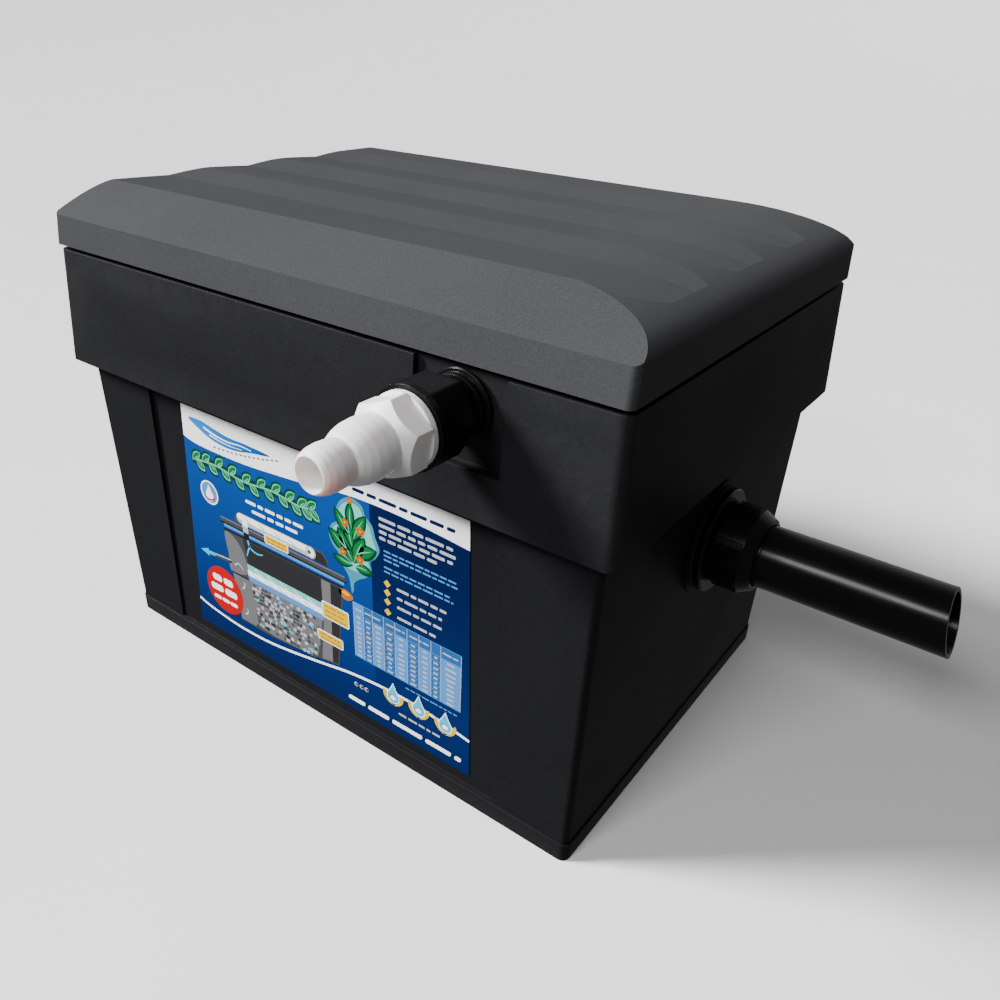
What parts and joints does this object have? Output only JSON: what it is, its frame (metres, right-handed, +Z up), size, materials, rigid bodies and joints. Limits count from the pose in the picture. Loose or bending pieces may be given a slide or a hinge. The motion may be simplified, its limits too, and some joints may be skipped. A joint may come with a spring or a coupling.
{
  "type": "pond filter",
  "caption": "Black box-shaped pond filter with grooved lift-off lid, white stepped hose tail, side outlet pipe, UV lamp unit and stacked filter foams.",
  "frame": {"origin": "middle of the tank's base, on the surface that it stands on", "axes": "+X along the long front face towards the outlet pipe, -Y out of the labelled front, +Z up"},
  "size_m": [0.6355, 0.4537, 0.3715],
  "materials": {
    "black_body": "black moulded plastic with a fine texture",
    "black_lid": "black moulded plastic with a fine texture",
    "label_print": "printed label, satin",
    "black_fitting": "glossy black",
    "white_nylon": "white nylon, soft sheen",
    "black_pipe": "glossy black",
    "seal_rubber": "matt black",
    "grey_plastic": "dark grey",
    "media_ceramic": "rough, porous",
    "foam_blue": "open-cell foam, fine",
    "foam_white": "open-cell foam, medium",
    "foam_teal": "open-cell foam, coarse",
    "housing_plastic": "black, satin",
    "quartz": "clear",
    "lamp_glass": "frosted white",
    "socket_white": "white",
    "screw_steel": "satin",
    "gland_black": "black, satin"
  },
  "bodies": {
    "filter_tank": {"bio_media": "media_ceramic", "cable_gland": "gland_black", "cradle_left": "grey_plastic", "cradle_right": "grey_plastic", "drip_tray": "grey_plastic", "foam_coarse": "foam_teal", "foam_fine": "foam_blue", "foam_medium": "foam_white", "front_label": "label_print", "gland_locknut": "gland_black", "gland_nut": "gland_black", "inlet_backnut": "black_fitting", "inlet_connector": "black_fitting", "inlet_seal": "seal_rubber", "inlet_washer": "seal_rubber", "media_grid": "grey_plastic", "outlet_backnut": "black_fitting", "outlet_connector": "black_fitting", "outlet_seal": "seal_rubber", "outlet_strainer": "black_fitting", "outlet_washer": "seal_rubber", "quartz_sleeve": "quartz", "sleeve_holder": "housing_plastic", "sleeve_seal": "seal_rubber", "strap_left": "grey_plastic", "strap_right": "grey_plastic", "strap_screw_left_back": "screw_steel", "strap_screw_left_front": "screw_steel", "strap_screw_right_back": "screw_steel", "strap_screw_right_front": "screw_steel", "tank": "black_body", "uv_housing": "housing_plastic", "weir_plate": "grey_plastic"},
    "lid": {"lid": "black_lid"},
    "inlet_nut": {"inlet_nut": "black_fitting"},
    "hose_tail": {"hosetail": "white_nylon"},
    "outlet_nut": {"outlet_nut": "black_fitting"},
    "outlet_pipe": {"outlet_pipe": "black_pipe"},
    "lamp_unit": {"uv_cap": "housing_plastic", "lamp_socket": "socket_white", "uv_lamp": "lamp_glass"}
  },
  "joints": [
    {"name": "lid_lift", "type": "slide", "parent": "filter_tank", "child": "lid", "axis": [0, 0, 1], "range_m": [0, 0.12]},
    {"name": "inlet_nut_turn", "type": "hinge", "parent": "filter_tank", "child": "inlet_nut", "pos_m": [0.1375, -0.161, 0.304], "axis": [0, -1, 0], "continuous": true},
    {"name": "hose_tail_swivel", "type": "hinge", "parent": "filter_tank", "child": "hose_tail", "pos_m": [0.1375, -0.161, 0.304], "axis": [0, -1, 0], "continuous": true},
    {"name": "outlet_nut_turn", "type": "hinge", "parent": "filter_tank", "child": "outlet_nut", "pos_m": [0.2334, 0, 0.1814], "axis": [1, 0, 0], "continuous": true},
    {"name": "outlet_pipe_pull", "type": "slide", "parent": "filter_tank", "child": "outlet_pipe", "axis": [1, 0, 0], "range_m": [0, 0.06]},
    {"name": "lamp_twist", "type": "hinge", "parent": "filter_tank", "child": "lamp_unit", "pos_m": [0.17, -0.108, 0.304], "axis": [1, 0, 0], "range_deg": [0, 40]}
  ]
}
